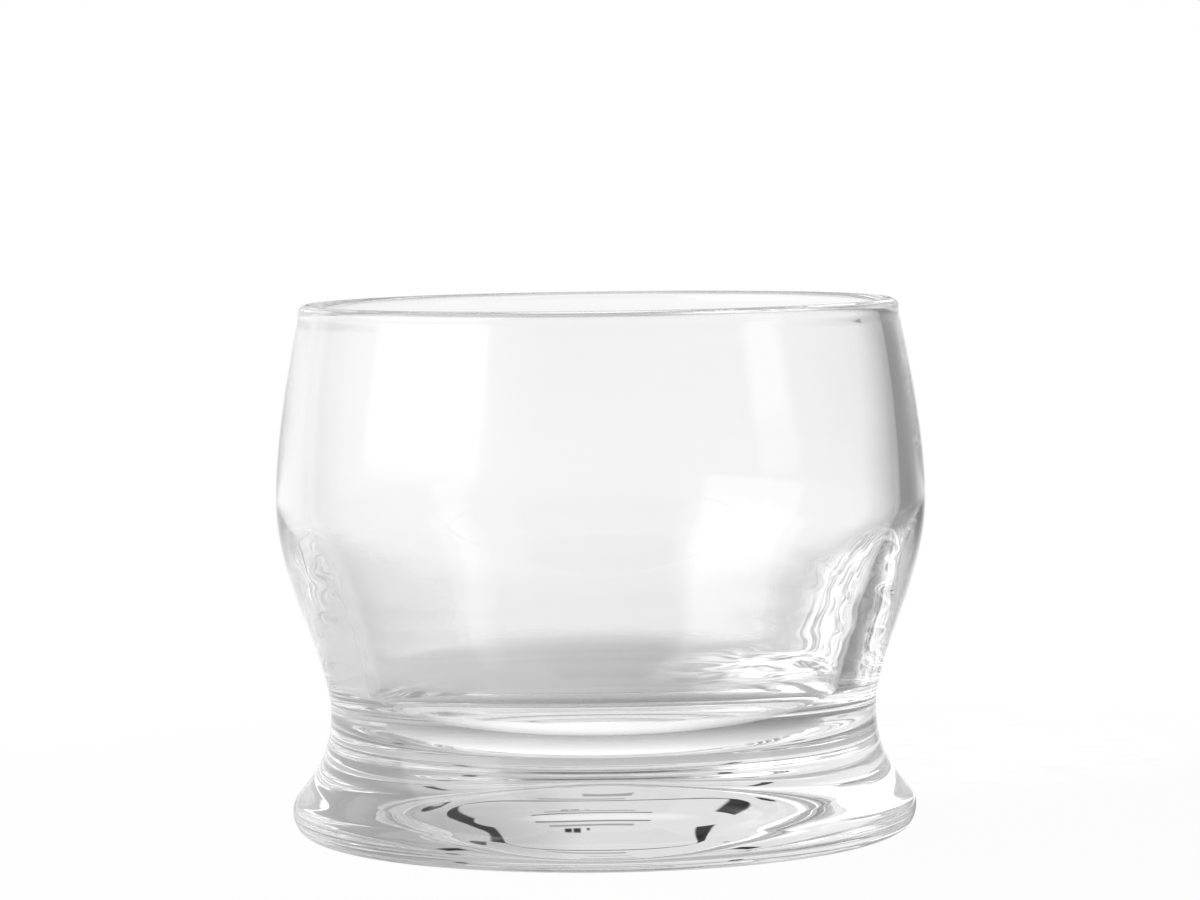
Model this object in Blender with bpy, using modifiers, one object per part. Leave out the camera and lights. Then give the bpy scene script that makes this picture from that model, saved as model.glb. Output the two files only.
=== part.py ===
"""Clear liqueur glass: a blown bowl fused onto a solid flared foot.

Two turned solids share one upright axis. The bowl has a beaded lip, a full belly, a wall that thickens
downwards and a floor with a low dome. The foot is a thick disc of glass with a dished top, a flared edge,
a ring to stand on and a shallow hollow underneath. The bowl sits in the dish, and the two meet at the waist.

Units are metres, +Z is up, and the origin is the centre of the ring that the glass stands on.
"""

import math

import bpy
from mathutils import Vector
from mathutils.geometry import interpolate_bezier

# Outside of the bowl
HEIGHT = 0.0467
RIM_DIAMETER = 0.0527
LIP_BAND = 0.0005
RIM_LEAN = math.radians(12.0)
BELLY_DIAMETER = 0.0570
BELLY_HEIGHT = 0.0293
WAIST_DIAMETER = 0.0480
WAIST_HEIGHT = 0.0108

# Inside of the bowl
RIM_WALL = 0.0017
BELLY_WALL = 0.00215
HEEL_WALL = 0.0029
HEEL_RISE = 0.0031
HEEL_LEAN = math.radians(15.5)
FLOOR_DIAMETER = 0.0259
FLOOR_RISE = 0.0014
BOTTOM_WALL = 0.0026

# Fused seat between the bowl and the foot
SEAT_DEPTH = 0.0053
SEAT_LEAN = math.radians(45.0)
SEAT_GAP = 0.0003

# Foot
FOOT_DIAMETER = 0.0549
FOOT_EDGE_HEIGHT = 0.0024
BASE_DIAMETER = 0.0499
RING_WIDTH = 0.0070
HOLLOW_DEPTH = 0.00255
HOLLOW_LEAN = math.radians(2.8)

# How full each curve is where it leaves a station: its handle, as a share of the straight line to the next
RIM_FULLNESS = 0.30
BELLY_FULLNESS_UP = 0.32
BELLY_FULLNESS_DOWN = 0.37
WAIST_FULLNESS_UP = 0.25
WAIST_FULLNESS_DOWN = 0.62
FOOT_FULLNESS_UP = 0.18
FOOT_FULLNESS_DOWN = 0.47
BASE_FULLNESS = 0.48
INNER_BELLY_FULLNESS = 0.24
HEEL_FULLNESS_UP = 0.36
HEEL_FULLNESS_DOWN = 0.41
FLOOR_FULLNESS = 0.39
DOME_FULLNESS_EDGE = 0.29
DOME_FULLNESS_MIDDLE = 0.40
SEAT_FULLNESS_MIDDLE = 0.57
SEAT_FULLNESS_EDGE = 0.25
HOLLOW_FULLNESS_EDGE = 0.33
HOLLOW_FULLNESS_MIDDLE = 0.26

# Facets: sides round the axis, and steps along a long curve, a short curve and the round of the lip
SIDES = 64
LONG_STEPS = 10
SHORT_STEPS = 7
LIP_STEPS = 6
AXIS_MERGE = 0.00001
SHARP_ANGLE = math.radians(35.0)

GLASS_COLOUR = (0.96, 0.975, 0.97, 1.0)
GLASS_ROUGHNESS = 0.02
GLASS_IOR = 1.52

DOWN = Vector((0.0, -1.0))
INWARD = Vector((-1.0, 0.0))


def leaning(angle):
    """The direction down a wall that leans outwards by this angle as it goes down."""
    return Vector((math.sin(angle), -math.cos(angle)))


def curve(start, way_out, fullness_out, end, way_in, fullness_in, steps):
    """Points (radius, height) of a smooth span between two stations, the first one left out."""
    chord = (end - start).length
    points = interpolate_bezier(
        start,
        start + way_out * fullness_out * chord,
        end - way_in * fullness_in * chord,
        end,
        steps + 1,
    )
    return points[1:]


def lip():
    """The lip from its inside to its outside: a straight band, a half round and a straight band."""
    round_radius = RIM_WALL / 2
    centre = Vector((RIM_DIAMETER / 2 - round_radius, HEIGHT - round_radius))
    half_turn = [math.pi * (1 - step / LIP_STEPS) for step in range(LIP_STEPS + 1)]
    half_round = [centre + round_radius * Vector((math.cos(a), math.sin(a))) for a in half_turn]
    band = Vector((0.0, -LIP_BAND))
    return [half_round[0] + band, *half_round, half_round[-1] + band]


def seat(drop):
    """The dished seat from the axis to the waist, lowered by drop: flat in the middle, rising to its edge."""
    middle = Vector((0.0, WAIST_HEIGHT - SEAT_DEPTH - drop))
    edge = Vector((WAIST_DIAMETER / 2, WAIST_HEIGHT - drop))
    up_to_edge = -leaning(-SEAT_LEAN)
    return [
        middle,
        *curve(middle, -INWARD, SEAT_FULLNESS_MIDDLE, edge, up_to_edge, SEAT_FULLNESS_EDGE, LONG_STEPS),
    ]


def bowl_inside():
    """The inside of the bowl from the middle of its floor up to the foot of the lip's band."""
    floor_height = WAIST_HEIGHT - SEAT_DEPTH + BOTTOM_WALL
    floor_middle = Vector((0.0, floor_height + FLOOR_RISE))
    floor_edge = Vector((FLOOR_DIAMETER / 2, floor_height))
    heel = Vector((WAIST_DIAMETER / 2 - HEEL_WALL, WAIST_HEIGHT + HEEL_RISE))
    belly = Vector((BELLY_DIAMETER / 2 - BELLY_WALL, BELLY_HEIGHT))
    rim = lip()[0]
    outward = -INWARD
    up_from_heel = -leaning(-HEEL_LEAN)
    up_to_rim = -leaning(RIM_LEAN)
    return [
        floor_middle,
        *curve(
            floor_middle, outward, DOME_FULLNESS_MIDDLE, floor_edge, outward, DOME_FULLNESS_EDGE, SHORT_STEPS
        ),
        *curve(floor_edge, outward, FLOOR_FULLNESS, heel, up_from_heel, HEEL_FULLNESS_DOWN, SHORT_STEPS),
        *curve(heel, up_from_heel, HEEL_FULLNESS_UP, belly, -DOWN, INNER_BELLY_FULLNESS, SHORT_STEPS),
        *curve(belly, -DOWN, BELLY_FULLNESS_UP, rim, up_to_rim, RIM_FULLNESS, SHORT_STEPS),
    ]


def bowl_outside():
    """The outside of the bowl from the foot of the lip's band down to the waist."""
    rim = lip()[-1]
    belly = Vector((BELLY_DIAMETER / 2, BELLY_HEIGHT))
    waist = Vector((WAIST_DIAMETER / 2, WAIST_HEIGHT))
    return [
        *curve(rim, leaning(RIM_LEAN), RIM_FULLNESS, belly, DOWN, BELLY_FULLNESS_UP, LONG_STEPS),
        *curve(belly, DOWN, BELLY_FULLNESS_DOWN, waist, DOWN, WAIST_FULLNESS_UP, LONG_STEPS),
    ]


def foot_outside():
    """The outside of the foot from just below the waist to the outer edge of the ring it stands on."""
    top = seat(SEAT_GAP)[-1]
    edge = Vector((FOOT_DIAMETER / 2, FOOT_EDGE_HEIGHT))
    base = Vector((BASE_DIAMETER / 2, 0.0))
    return [
        *curve(top, DOWN, WAIST_FULLNESS_DOWN, edge, DOWN, FOOT_FULLNESS_UP, LONG_STEPS),
        *curve(edge, DOWN, FOOT_FULLNESS_DOWN, base, INWARD, BASE_FULLNESS, SHORT_STEPS),
    ]


def foot_underside():
    """The underside from the inner edge of the standing ring to the top of the hollow, on the axis."""
    ring_inside = Vector((BASE_DIAMETER / 2 - RING_WIDTH, 0.0))
    top = Vector((0.0, HOLLOW_DEPTH))
    into_hollow = Vector((-math.cos(HOLLOW_LEAN), math.sin(HOLLOW_LEAN)))
    return [
        ring_inside,
        *curve(
            ring_inside, into_hollow, HOLLOW_FULLNESS_EDGE, top, INWARD, HOLLOW_FULLNESS_MIDDLE, SHORT_STEPS
        ),
    ]


def clear_glass(name):
    """Fire-polished clear soda-lime glass."""
    material = bpy.data.materials.new(name)
    material.use_nodes = True
    shader = material.node_tree.nodes["Principled BSDF"]
    shader.inputs["Base Color"].default_value = GLASS_COLOUR
    shader.inputs["Metallic"].default_value = 0.0
    shader.inputs["Roughness"].default_value = GLASS_ROUGHNESS
    shader.inputs["IOR"].default_value = GLASS_IOR
    shader.inputs["Transmission Weight"].default_value = 1.0
    return material


def turned(name, profile, collection, frame):
    """A solid turned from a profile that runs over the top and down its outer side, axis to axis."""
    outline = bpy.data.meshes.new(name + "_profile")
    points = [(point.x, 0.0, point.y) for point in profile]
    outline.from_pydata(points, [(i, i + 1) for i in range(len(points) - 1)], [])
    solid = bpy.data.objects.new(name, outline)
    collection.objects.link(solid)

    screw = solid.modifiers.new("turn", "SCREW")
    screw.axis = "Z"
    screw.angle = math.tau
    screw.steps = SIDES
    screw.render_steps = SIDES
    screw.use_merge_vertices = True
    screw.merge_threshold = AXIS_MERGE

    graph = bpy.context.evaluated_depsgraph_get()
    mesh = bpy.data.meshes.new_from_object(solid.evaluated_get(graph))
    mesh.name = name
    mesh.shade_smooth()
    mesh.set_sharp_from_angle(angle=SHARP_ANGLE)
    mesh.materials.append(clear_glass(name + "_glass"))
    solid.modifiers.clear()
    solid.data = mesh
    bpy.data.meshes.remove(outline)
    solid.parent = frame
    return solid


def clear_scene():
    for old in list(bpy.data.objects):
        bpy.data.objects.remove(old)


def main():
    clear_scene()
    collection = bpy.data.collections.new("liqueur_glass")
    bpy.context.scene.collection.children.link(collection)
    frame = bpy.data.objects.new("glass_axis", None)
    collection.objects.link(frame)

    bowl_profile = [*bowl_inside(), *lip()[1:], *bowl_outside(), *reversed(seat(0.0)[:-1])]
    turned("bowl", bowl_profile, collection, frame)

    foot_profile = [*seat(SEAT_GAP), *foot_outside(), *foot_underside()]
    turned("foot", foot_profile, collection, frame)


main()
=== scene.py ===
import math

import bmesh
import bpy
from mathutils import Matrix, Vector, noise
from mathutils.geometry import interpolate_bezier


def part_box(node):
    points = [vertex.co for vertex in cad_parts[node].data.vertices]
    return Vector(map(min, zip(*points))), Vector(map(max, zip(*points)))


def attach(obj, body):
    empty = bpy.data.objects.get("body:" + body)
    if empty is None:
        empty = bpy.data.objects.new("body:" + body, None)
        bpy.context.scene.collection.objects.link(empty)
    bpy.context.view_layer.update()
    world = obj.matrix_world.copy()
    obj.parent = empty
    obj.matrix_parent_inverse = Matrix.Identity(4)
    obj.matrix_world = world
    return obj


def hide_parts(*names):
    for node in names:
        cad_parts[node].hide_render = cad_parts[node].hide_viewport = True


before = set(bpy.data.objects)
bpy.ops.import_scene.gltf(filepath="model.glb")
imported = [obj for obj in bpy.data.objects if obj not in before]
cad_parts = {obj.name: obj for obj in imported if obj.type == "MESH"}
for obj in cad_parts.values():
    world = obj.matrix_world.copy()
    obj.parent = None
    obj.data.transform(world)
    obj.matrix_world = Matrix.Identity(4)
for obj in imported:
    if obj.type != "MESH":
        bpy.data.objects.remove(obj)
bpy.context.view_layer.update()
bowl_low, bowl_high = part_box("bowl")
foot_low, foot_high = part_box("foot")


# The glass. A blown bowl and a solid foot of clear soda-lime glass, fused hot at the waist into one unbroken
# body with no seam to see. Its lip is fire-polished to a low bead, the wall thickens towards a rounded heel,
# the floor rises to a low dome, and the foot stands on a ring round a hollow.
SEAT_GAP = 0.0003
LIP_WIDTH = 0.0017
LIP_DROP = 0.0005
LIP_RADIUS = 0.02635
LIP_LEAN = math.radians(12.0)
BELLY_HEIGHT = 0.0293
BELLY_WALL = 0.00215
WAIST_RADIUS = 0.0240
HEEL_RADIUS = 0.0211
HEEL_HEIGHT = 0.0139
HEEL_LEAN = math.radians(15.5)
FLOOR_RADIUS = 0.01295
FLOOR_WALL = 0.0026
FLOOR_RISE = 0.0014
FOOT_EDGE_HEIGHT = 0.0023
BASE_RADIUS = 0.02488
RING_WIDTH = 0.00693
HOLLOW_DEPTH = 0.00255
HOLLOW_LEAN = math.radians(2.8)
TURNS = 256
LIP_STEPS = 14
RING_STEPS = 6

# How full each span of wall is where it leaves its first station and where it comes to its second.
DOME_FULLNESS = (0.40, 0.29)
FLOOR_FULLNESS = (0.39, 0.41)
HEEL_FULLNESS = (0.36, 0.24)
INSIDE_SHOULDER_FULLNESS = (0.32, 0.30)
OUTSIDE_SHOULDER_FULLNESS = (0.30, 0.32)
BELLY_FULLNESS = (0.37, 0.25)
FLARE_FULLNESS = (0.62, 0.19)
FOOT_EDGE_FULLNESS = (0.39, 0.53)
HOLLOW_FULLNESS = (0.33, 0.26)

UP = Vector((0.0, 1.0))
DOWN = -UP
OUTWARD = Vector((1.0, 0.0))
INWARD = -OUTWARD


def leaning_up(angle):
    """The way up a wall that leans outwards by this angle."""
    return Vector((math.sin(angle), math.cos(angle)))


def sweep(start, way_out, end, way_in, fullness, steps):
    """A smooth span of wall between two stations (radius, height), without its first point."""
    reach = (end - start).length
    leave = start + way_out * fullness[0] * reach
    arrive = end - way_in * fullness[1] * reach
    return interpolate_bezier(start, leave, arrive, end, steps + 1)[1:]


waist_height = foot_high.z + SEAT_GAP
lip_round = LIP_WIDTH / 2
lip_centre = Vector((LIP_RADIUS - lip_round, bowl_high.z - lip_round))
lip_inside = lip_centre + INWARD * lip_round + DOWN * LIP_DROP
lip_outside = lip_centre + OUTWARD * lip_round + DOWN * LIP_DROP
belly_outside = Vector((bowl_high.x, BELLY_HEIGHT))
belly_inside = belly_outside + INWARD * BELLY_WALL
waist = Vector((WAIST_RADIUS, waist_height))
heel = Vector((HEEL_RADIUS, HEEL_HEIGHT))
floor_edge = Vector((FLOOR_RADIUS, bowl_low.z + FLOOR_WALL))
floor_middle = Vector((0.0, floor_edge.y + FLOOR_RISE))
foot_edge = Vector((foot_high.x, FOOT_EDGE_HEIGHT))
base_edge = Vector((BASE_RADIUS, foot_low.z))
ring_edge = base_edge + INWARD * RING_WIDTH
hollow_top = Vector((0.0, foot_low.z + HOLLOW_DEPTH))
into_hollow = Vector((-math.cos(HOLLOW_LEAN), math.sin(HOLLOW_LEAN)))
up_from_heel = leaning_up(HEEL_LEAN)
up_to_lip = leaning_up(-LIP_LEAN)

glass_floor = [floor_middle, *sweep(floor_middle, OUTWARD, floor_edge, OUTWARD, DOME_FULLNESS, 24)]
glass_inside = [
    *sweep(floor_edge, OUTWARD, heel, up_from_heel, FLOOR_FULLNESS, 32),
    *sweep(heel, up_from_heel, belly_inside, UP, HEEL_FULLNESS, 72),
    *sweep(belly_inside, UP, lip_inside, up_to_lip, INSIDE_SHOULDER_FULLNESS, 24),
]
glass_lip = [
    lip_centre + lip_round * Vector((-math.cos(turn), math.sin(turn)))
    for turn in [math.pi * i / LIP_STEPS for i in range(LIP_STEPS + 1)]
]
glass_outside = [
    lip_outside,
    *sweep(lip_outside, -up_to_lip, belly_outside, DOWN, OUTSIDE_SHOULDER_FULLNESS, 26),
    *sweep(belly_outside, DOWN, waist, DOWN, BELLY_FULLNESS, 32),
    *sweep(waist, DOWN, foot_edge, DOWN, FLARE_FULLNESS, 28),
    *sweep(foot_edge, DOWN, base_edge, INWARD, FOOT_EDGE_FULLNESS, 32),
]
glass_underside = [
    *[base_edge.lerp(ring_edge, i / RING_STEPS) for i in range(1, RING_STEPS + 1)],
    *sweep(ring_edge, into_hollow, hollow_top, INWARD, HOLLOW_FULLNESS, 40),
]
profile = [*glass_floor, *glass_inside, *glass_lip, *glass_outside, *glass_underside]

turning = bmesh.new()
stations = [turning.verts.new((point.x, 0.0, point.y)) for point in profile]
edges = [turning.edges.new(pair) for pair in zip(stations, stations[1:])]
bmesh.ops.spin(
    turning,
    geom=stations + edges,
    axis=(0, 0, 1),
    cent=(0, 0, 0),
    angle=math.tau,
    steps=TURNS,
    use_merge=True,
)
bmesh.ops.remove_doubles(turning, verts=turning.verts, dist=1e-7)

# Faint waves that the cooling left in the inside of the lower wall, strongest at its two sides.
WAVE_DEPTH = 0.00003
WAVE_MIDDLE = 0.0185
WAVE_REACH = 0.0080
WAVES_ACROSS = 170
WAVES_UP = 650
WALL_AT_WAIST = 0.002
WALL_SPREAD = 3
for vert in turning.verts:
    outward = Vector((vert.co.x, vert.co.y, 0.0))
    nearness = 1 - abs(vert.co.z - WAVE_MIDDLE) / WAVE_REACH
    middle_of_wall = WAIST_RADIUS - WALL_AT_WAIST + (vert.co.z - waist_height) / WALL_SPREAD
    if nearness > 0 and outward.length < middle_of_wall:
        place_in_waves = Vector((vert.co.x * WAVES_ACROSS, vert.co.y * WAVES_ACROSS, vert.co.z * WAVES_UP))
        sideways = (vert.co.x / outward.length) ** 2
        vert.co += outward.normalized() * WAVE_DEPTH * noise.noise(place_in_waves) * nearness * sideways
bmesh.ops.recalc_face_normals(turning, faces=turning.faces)
glass_mesh = bpy.data.meshes.new("glass")
turning.to_mesh(glass_mesh)
turning.free()
glass_mesh.shade_smooth()
glass = bpy.data.objects.new("glass", glass_mesh)
bpy.context.scene.collection.objects.link(glass)


def add_node(kind, **settings):
    """A new node in the material or sky in hand, with its inputs set by name (spaces written as _)."""
    node = nodes.new("ShaderNode" + kind)
    for name, value in settings.items():
        node.inputs[name.replace("_", " ")].default_value = value
    return node


def graded(value, low, high, to_low=0.0, to_high=1.0, soft=False):
    """A value carried from one range to another, and held at its ends."""
    ramp = add_node("MapRange", From_Min=low, From_Max=high, To_Min=to_low, To_Max=to_high)
    ramp.interpolation_type = "SMOOTHSTEP" if soft else "LINEAR"
    links.new(value, ramp.inputs["Value"])
    return ramp.outputs["Result"]


# Its finish: clear and colourless, polished by the flame, a little less so where hands have been, and uneven
# by hundredths of a millimetre.
HANDLED_ROUGHNESS = 0.012
SKIN_DEPTH = 0.00002
clear_glass = bpy.data.materials.new("clear_glass")
clear_glass.use_nodes = True
nodes, links = clear_glass.node_tree.nodes, clear_glass.node_tree.links
shader = nodes["Principled BSDF"]
shader.inputs["Base Color"].default_value = (0.99, 0.99, 0.99, 1.0)
shader.inputs["IOR"].default_value = 1.52
shader.inputs["Transmission Weight"].default_value = 1.0
place = nodes.new("ShaderNodeTexCoord")
handling = add_node("TexNoise", Scale=90.0, Detail=4.0)
links.new(place.outputs["Object"], handling.inputs["Vector"])
polish = graded(handling.outputs["Fac"], 0.45, 0.75, to_high=HANDLED_ROUGHNESS)
links.new(polish, shader.inputs["Roughness"])
unevenness = add_node("TexNoise", Scale=140.0, Detail=0.0)
links.new(place.outputs["Object"], unevenness.inputs["Vector"])
skin = add_node("Bump", Strength=0.25, Distance=SKIN_DEPTH)
links.new(unevenness.outputs["Fac"], skin.inputs["Height"])
links.new(skin.outputs["Normal"], shader.inputs["Normal"])
glass_mesh.materials.append(clear_glass)
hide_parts("bowl", "foot")
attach(glass, "root")


# The floor: a plain round of matt card that takes the shadow of the glass. Its colour is painted shade: paler
# to the left and darker to the right, standing in for the light that falls from the left. It thins out to
# nothing at its rim, so that no edge of it shows through the glass. The light that the glass would gather
# under its foot, and throw in streaks to the right behind it, is painted on the card as a faint glow.
CARD_RADIUS = 0.115
CARD_CLEAR = 0.00005
CARD_SOLID_TO = 0.060
CARD_PAINTED_LIGHT = 0.94
CARD_PAINTED_SHADE = 0.38
SHADE_REACH = 0.060
# painted light: the sizes, place and strength of the glow painted on the card
GLOW_EDGE = 0.030
GLOW_CORE = 0.006
PATCH_MIDDLE = (0.036, 0.052, 0.0)
PATCH_TURN = math.radians(-33.0)
PATCH_SIZE = (0.030, 0.040, 1.0)
PATCH_CORE = 0.35
PAINTED_STREAK_LIGHT = 1.5
PAINTED_GLOW_STRENGTH = 0.85
WHITE_SHARE = 0.97
card = bmesh.new()
bmesh.ops.create_circle(
    card,
    cap_ends=True,
    segments=96,
    radius=CARD_RADIUS,
    matrix=Matrix.Translation((0, 0, -CARD_CLEAR)),
)
floor_mesh = bpy.data.meshes.new("floor")
card.to_mesh(floor_mesh)
card.free()
floor = bpy.data.objects.new("floor", floor_mesh)
bpy.context.scene.collection.objects.link(floor)

white_card = bpy.data.materials.new("white_card")
white_card.use_nodes = True
nodes, links = white_card.node_tree.nodes, white_card.node_tree.links
matt = nodes["Principled BSDF"]
matt.inputs["Roughness"].default_value = 0.9
matt.inputs["Specular IOR Level"].default_value = 0.0
# painted light: the card glows by emission where the glass would throw light onto it
matt.inputs["Emission Strength"].default_value = PAINTED_GLOW_STRENGTH
place = nodes.new("ShaderNodeTexCoord")
reach = nodes.new("ShaderNodeVectorMath")
reach.operation = "LENGTH"
links.new(place.outputs["Object"], reach.inputs[0])
links.new(graded(reach.outputs["Value"], CARD_RADIUS, CARD_SOLID_TO, soft=True), matt.inputs["Alpha"])
across = nodes.new("ShaderNodeSeparateXYZ")
links.new(place.outputs["Object"], across.inputs["Vector"])
# painted shade: the card's colour darkens from left to right, standing in for the light from the left
painted_side_shade = graded(across.outputs["X"], SHADE_REACH, -SHADE_REACH, CARD_PAINTED_SHADE, CARD_PAINTED_LIGHT)
links.new(painted_side_shade, matt.inputs["Base Color"])
# painted light: a streaky patch of glow to the right behind the glass, standing in for the light it throws
# there
patch = add_node("Mapping", Location=PATCH_MIDDLE, Rotation=(0.0, 0.0, PATCH_TURN), Scale=PATCH_SIZE)
patch.vector_type = "TEXTURE"
links.new(place.outputs["Object"], patch.inputs["Vector"])
from_middle = nodes.new("ShaderNodeVectorMath")
from_middle.operation = "LENGTH"
links.new(patch.outputs["Vector"], from_middle.inputs[0])
ripple = add_node("TexNoise", Scale=160.0, Distortion=1.5)
links.new(place.outputs["Object"], ripple.inputs["Vector"])
painted_glow = nodes.new("ShaderNodeMath")
painted_glow.operation = "MULTIPLY_ADD"
links.new(graded(from_middle.outputs["Value"], 1.0, PATCH_CORE, soft=True), painted_glow.inputs[0])
links.new(graded(ripple.outputs["Fac"], 0.34, 0.60, to_high=PAINTED_STREAK_LIGHT), painted_glow.inputs[1])
# painted light: a glow under the foot, standing in for the light the glass gathers there
links.new(graded(reach.outputs["Value"], GLOW_EDGE, GLOW_CORE, soft=True), painted_glow.inputs[2])
links.new(painted_glow.outputs["Value"], matt.inputs["Emission Color"])
whiteness = nodes.new("ShaderNodeEmission")
seen = nodes.new("ShaderNodeLightPath")
share = nodes.new("ShaderNodeMath")
share.operation = "MULTIPLY"
share.inputs[1].default_value = WHITE_SHARE
whitened = nodes.new("ShaderNodeMixShader")
links.new(seen.outputs["Is Camera Ray"], share.inputs[0])
links.new(share.outputs["Value"], whitened.inputs["Fac"])
links.new(matt.outputs["BSDF"], whitened.inputs[1])
links.new(whiteness.outputs["Emission"], whitened.inputs[2])
links.new(whitened.outputs["Shader"], nodes["Material Output"].inputs["Surface"])
floor_mesh.materials.append(white_card)


# The studio: soft light from all round, painted on the sky, brighter on the left. A white screen in a dark
# frame stands behind the glass, a large soft box to the left of the camera, a window to the right, and behind
# the camera is a dark gap. Bearings are in degrees: 0 is straight behind the glass, 90 is to its right.
ROOM = [
    (-180, 0.62),
    (-160, 0.66),
    (-140, 0.98),
    (-90, 1.25),
    (-60, 1.10),
    (-40, 0.92),
    (-18, 0.77),
    (5, 0.77),
    (20, 0.48),
    (35, 0.32),
    (85, 0.34),
    (120, 0.48),
    (180, 0.62),
]
TABLE = [
    (-180, 0.75),
    (-110, 1.05),
    (-60, 0.85),
    (-14, 1.00),
    (11, 0.95),
    (23, 0.25),
    (40, 0.28),
    (60, 0.55),
    (180, 0.75),
]
CEILING = 0.95
SOFT_BOX_LIGHT = 2.6
WINDOW_LIGHT = 1.3
GAP_LIGHT = 0.08
FRAME_EDGE = 0.5

studio = bpy.data.worlds.new("studio")
bpy.context.scene.world = studio
studio.use_nodes = True
nodes, links = studio.node_tree.nodes, studio.node_tree.links


def worked(operation, *values):
    """The result of one sum, on numbers or on what other nodes give."""
    node = nodes.new("ShaderNodeMath")
    node.operation = operation
    for socket, value in zip(node.inputs, values):
        if isinstance(value, (int, float)):
            socket.default_value = value
        else:
            links.new(value, socket)
    return node.outputs["Value"]


direction = nodes.new("ShaderNodeTexCoord")
axes = nodes.new("ShaderNodeSeparateXYZ")
links.new(direction.outputs["Generated"], axes.inputs["Vector"])
bearing = worked("DEGREES", worked("ARCTAN2", axes.outputs["X"], axes.outputs["Y"]))
height = worked("DEGREES", worked("ARCSINE", axes.outputs["Z"]))


def span(value, low, high, edge):
    """1 between two numbers and 0 outside them, with a soft edge."""
    rise = graded(value, low - edge / 2, low + edge / 2, soft=True)
    fall = graded(value, high + edge / 2, high - edge / 2, soft=True)
    return worked("MULTIPLY", rise, fall)


def panel(left, right, bottom, top, edge):
    """An upright panel as seen from the glass: bearings of its sides and heights of its edges, in degrees."""
    return worked("MULTIPLY", span(bearing, left, right, edge), span(height, bottom, top, edge))


def shade_around(stops):
    """Brightness by bearing."""
    ramp = nodes.new("ShaderNodeValToRGB")
    band = ramp.color_ramp
    band.elements.remove(band.elements[1])
    for i, (degrees, level) in enumerate(stops):
        turn = (degrees + 180) / 360
        stop = band.elements[0] if i == 0 else band.elements.new(turn)
        stop.position = turn
        stop.color = (level, level, level, 1.0)
    links.new(worked("DIVIDE", worked("ADD", bearing, 180.0), 360.0), ramp.inputs["Fac"])
    return ramp.outputs["Color"]


def painted(share, under, over):
    """One brightness laid over another, by a share between 0 and 1."""
    mix = nodes.new("ShaderNodeMix")
    mix.data_type = "RGBA"
    for socket, value in zip((mix.inputs[0], mix.inputs[6], mix.inputs[7]), (share, under, over)):
        if isinstance(value, float):
            socket.default_value = (value, value, value, 1.0)
        else:
            links.new(value, socket)
    return mix.outputs[2]


room = painted(graded(height, -3.0, 3.0, soft=True), shade_around(TABLE), shade_around(ROOM))
room = painted(graded(height, 44.0, 58.0, soft=True), room, CEILING)
room = painted(panel(-136.0, -88.0, 4.0, 48.0, 6.0), room, SOFT_BOX_LIGHT)
behind_camera = graded(worked("ABSOLUTE", bearing), 140.0, 146.0, soft=True)
room = painted(worked("MULTIPLY", behind_camera, span(height, 24.0, 66.0, 3.0)), room, GAP_LIGHT)
room = painted(panel(106.0, 122.0, 4.0, 40.0, 4.0), room, WINDOW_LIGHT)
for left, right, bottom, top, level in (
    # the frame of the screen: two posts and the rail across their tops
    (-18.9, -16.7, 8.0, 28.0, 0.0),
    (19.0, 21.2, 8.0, 28.0, 0.0),
    (-18.0, 20.0, 26.6, 27.6, 0.0),
    # two dark shelves low on the screen, and three small dark things above them
    (-9.0, 13.0, 1.0, 2.2, 0.2),
    (-6.0, 11.0, 4.6, 6.0, 0.35),
    (6.9, 8.3, 7.2, 8.4, 0.0),
    (5.1, 6.6, 7.2, 8.4, 0.0),
    (3.2, 3.9, 7.2, 8.0, 0.1),
    # two dim bars above the frame
    (-5.0, 4.0, 35.0, 38.0, 0.4),
    (-4.0, 11.0, 29.5, 31.5, 0.45),
):
    room = painted(panel(left, right, bottom, top, FRAME_EDGE), room, level)
seen = nodes.new("ShaderNodeLightPath")
links.new(painted(seen.outputs["Is Camera Ray"], room, 1.0), nodes["Background"].inputs["Color"])

# Light bounces many times inside the thick foot before it leaves it.
BOUNCES = 96
cycles = bpy.context.scene.cycles
cycles.max_bounces = BOUNCES
cycles.transmission_bounces = BOUNCES
cycles.glossy_bounces = BOUNCES


# The camera: a long lens a little above the rim, 42 cm away, tipped down and turned very slightly.
CAMERA_DISTANCE = 0.41862
CAMERA_HEIGHT = 0.06084
CAMERA_PITCH = math.radians(3.729)
CAMERA_ROLL = math.radians(0.771)
camera_data = bpy.data.cameras.new("camera")
camera_data.sensor_width = 36.0
camera_data.lens = 143.17
camera_data.clip_start = 0.01
camera = bpy.data.objects.new("camera", camera_data)
bpy.context.scene.collection.objects.link(camera)
camera.matrix_world = (
    Matrix.Translation((0, -CAMERA_DISTANCE, CAMERA_HEIGHT))
    @ Matrix.Rotation(math.pi / 2 - CAMERA_PITCH, 4, "X")
    @ Matrix.Rotation(-CAMERA_ROLL, 4, "Z")
)
bpy.context.scene.camera = camera
bpy.context.scene.view_settings.view_transform = "Standard"

bpy.context.view_layer.update()
